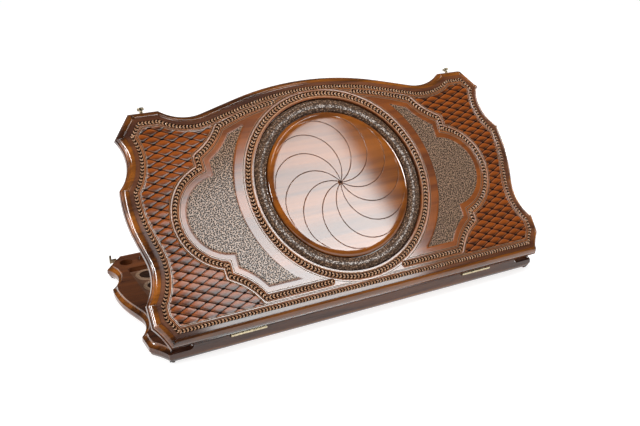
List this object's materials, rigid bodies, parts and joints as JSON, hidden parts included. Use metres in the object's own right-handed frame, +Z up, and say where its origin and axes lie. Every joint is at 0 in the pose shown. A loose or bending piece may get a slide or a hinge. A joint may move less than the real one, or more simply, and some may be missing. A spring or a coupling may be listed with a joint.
{
  "type": "backgammon board",
  "caption": "Folding backgammon board of carved red-brown wood, standing half open, with round polished medallions, brass hinges and swing hooks.",
  "frame": {"origin": "middle of the lower medallion's flat, on which the board rests", "axes": "+X along the hinge line, +Y from the hinge towards the opening front edge, +Z up"},
  "size_m": [0.6052, 0.3357, 0.2878],
  "materials": {
    "carved_wood": "gloss",
    "panel_wood": "satin",
    "light_wood": "satin",
    "dark_wood": "satin",
    "brass": "polished"
  },
  "bodies": {
    "case": {"lower_case": "carved_wood", "lower_play_panel": "panel_wood", "lower_light_points": "light_wood", "lower_dark_points": "dark_wood", "lower_rosettes": "light_wood", "lower_rosette_discs": "dark_wood", "lower_medallion": "carved_wood", "lower_medallion_ring": "carved_wood", "left_hinge_case_leaf": "brass", "left_hinge_pin": "brass", "left_hook_pivot": "brass", "right_hinge_case_leaf": "brass", "right_hinge_pin": "brass", "right_hook_pivot": "brass"},
    "lid": {"upper_case": "carved_wood", "upper_play_panel": "panel_wood", "upper_light_points": "light_wood", "upper_dark_points": "dark_wood", "upper_rosettes": "light_wood", "upper_rosette_discs": "dark_wood", "upper_medallion": "carved_wood", "upper_medallion_ring": "carved_wood", "left_hinge_lid_leaf": "brass", "left_lid_stud": "brass", "right_hinge_lid_leaf": "brass", "right_lid_stud": "brass"},
    "left_hook": {"left_hook": "brass"},
    "right_hook": {"right_hook": "brass"}
  },
  "joints": [
    {"name": "lid_hinge", "type": "hinge", "parent": "case", "child": "lid", "pos_m": [0, -0.1635, 0.0212], "axis": [1, 0, 0], "range_deg": [-53.1, 126.9]},
    {"name": "left_hook_swing", "type": "hinge", "parent": "case", "child": "left_hook", "pos_m": [-0.2445, 0.1458, 0.0112], "axis": [0, 1, 0], "range_deg": [-12, 90]},
    {"name": "right_hook_swing", "type": "hinge", "parent": "case", "child": "right_hook", "pos_m": [0.2445, 0.1458, 0.0112], "axis": [0, -1, 0], "range_deg": [-12, 90]}
  ]
}
